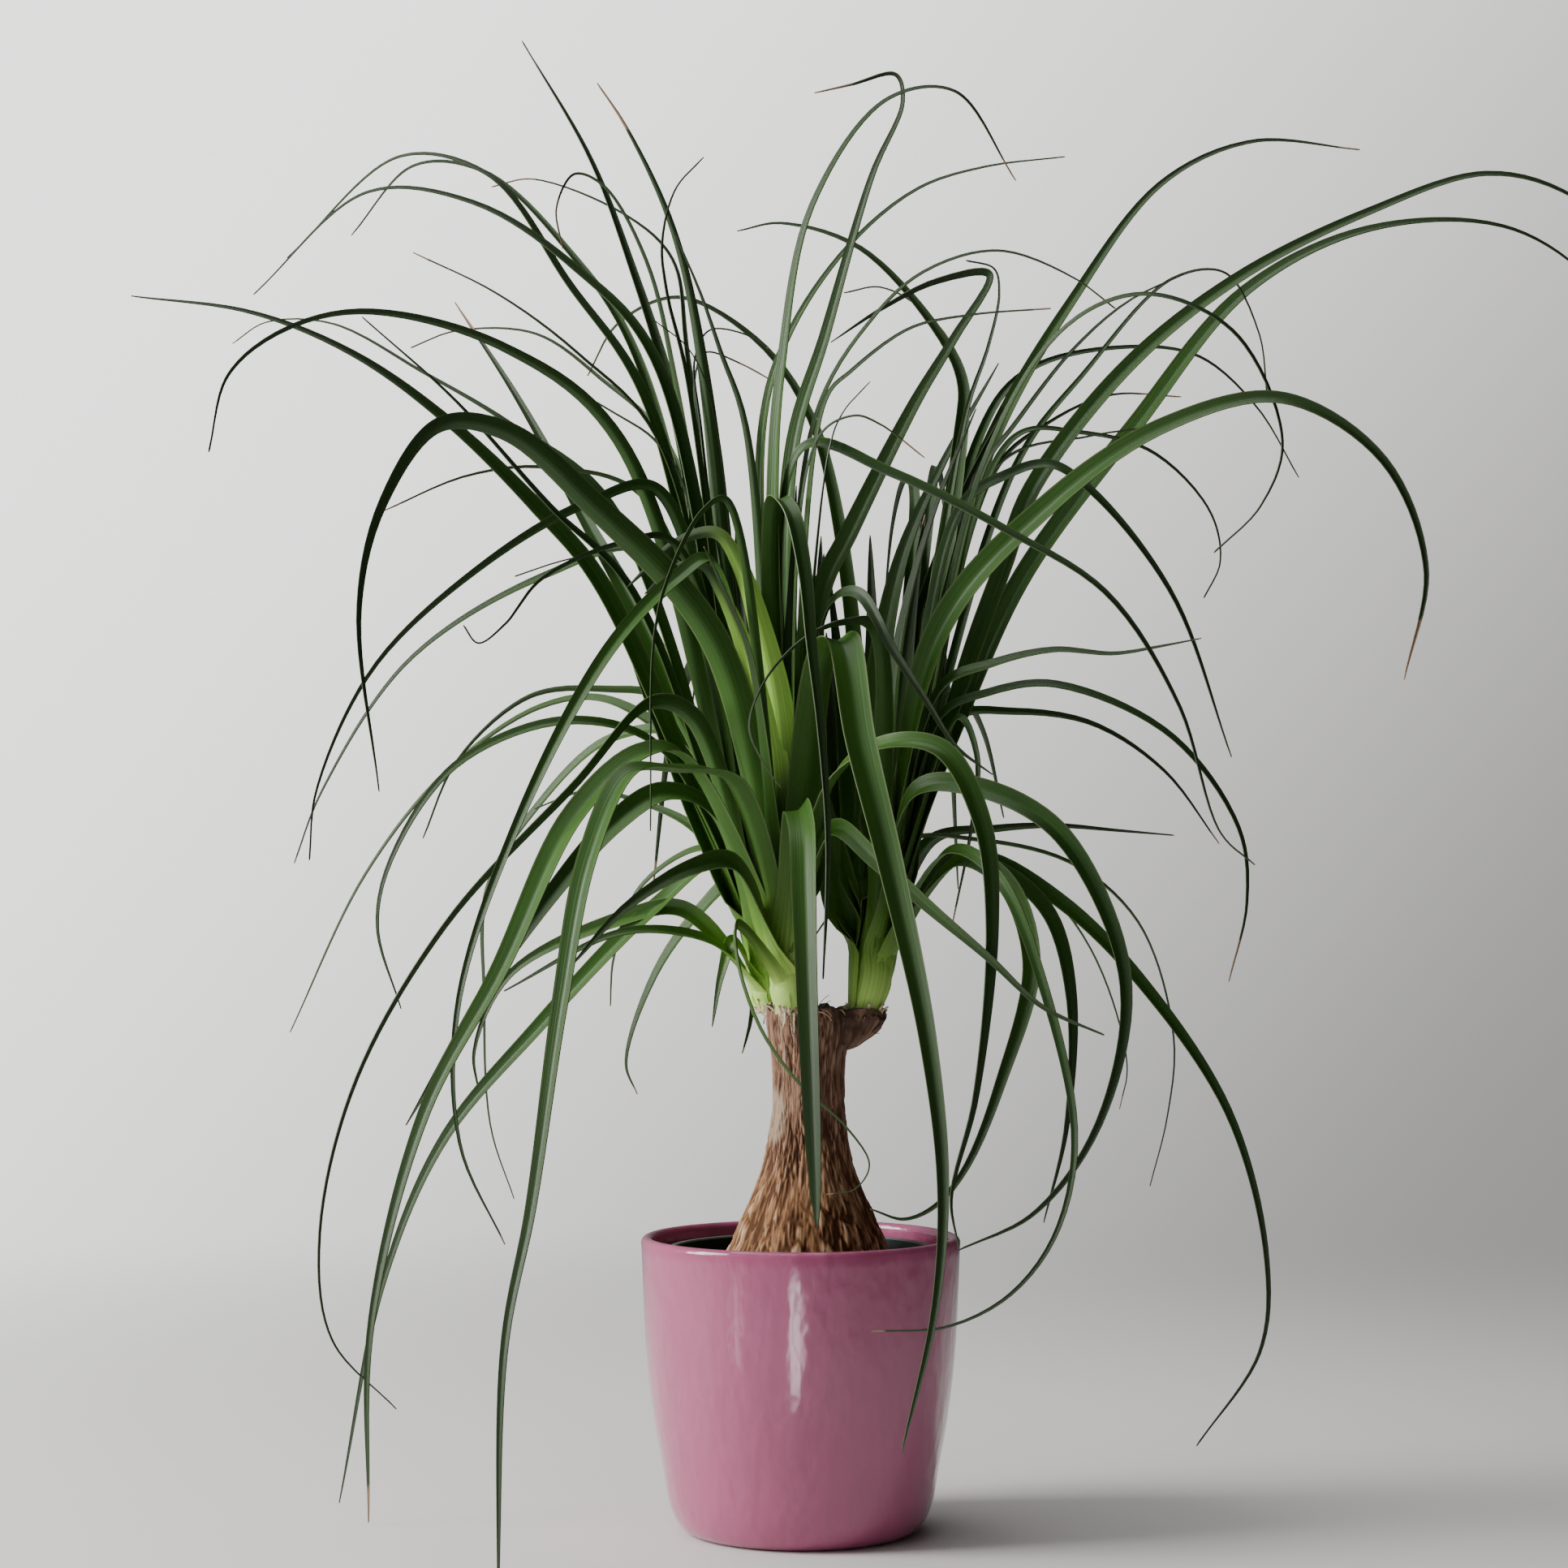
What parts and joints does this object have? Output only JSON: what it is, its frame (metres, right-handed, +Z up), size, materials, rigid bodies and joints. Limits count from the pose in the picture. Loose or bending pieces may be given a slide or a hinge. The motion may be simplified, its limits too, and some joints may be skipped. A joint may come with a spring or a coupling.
{
  "type": "potted ponytail palm",
  "caption": "Ponytail palm with a swollen bark trunk and three heads of long arching blades, in a nursery pot inside a round glazed cover pot.",
  "frame": {"origin": "centre of the cover pot's foot, on the surface that the pot stands on", "axes": "+Z up along the pot's axis, +X to the right seen from the front, +Y away from the viewer"},
  "size_m": [0.9243, 0.621, 0.9102],
  "materials": {
    "glaze": "gloss glaze, dusty pink",
    "nursery_plastic": "satin, dark green black",
    "potting_mix": "loose and matte",
    "bark": "rough corky bark in flaking ridges",
    "leaf": "leathery leaf, satin"
  },
  "bodies": {
    "root": {"cover_pot": "glaze", "grow_pot": "nursery_plastic", "soil": "potting_mix", "trunk": "bark", "shoot_left_back": "leaf", "shoot_left_front": "leaf", "shoot_right": "leaf"}
  },
  "joints": []
}
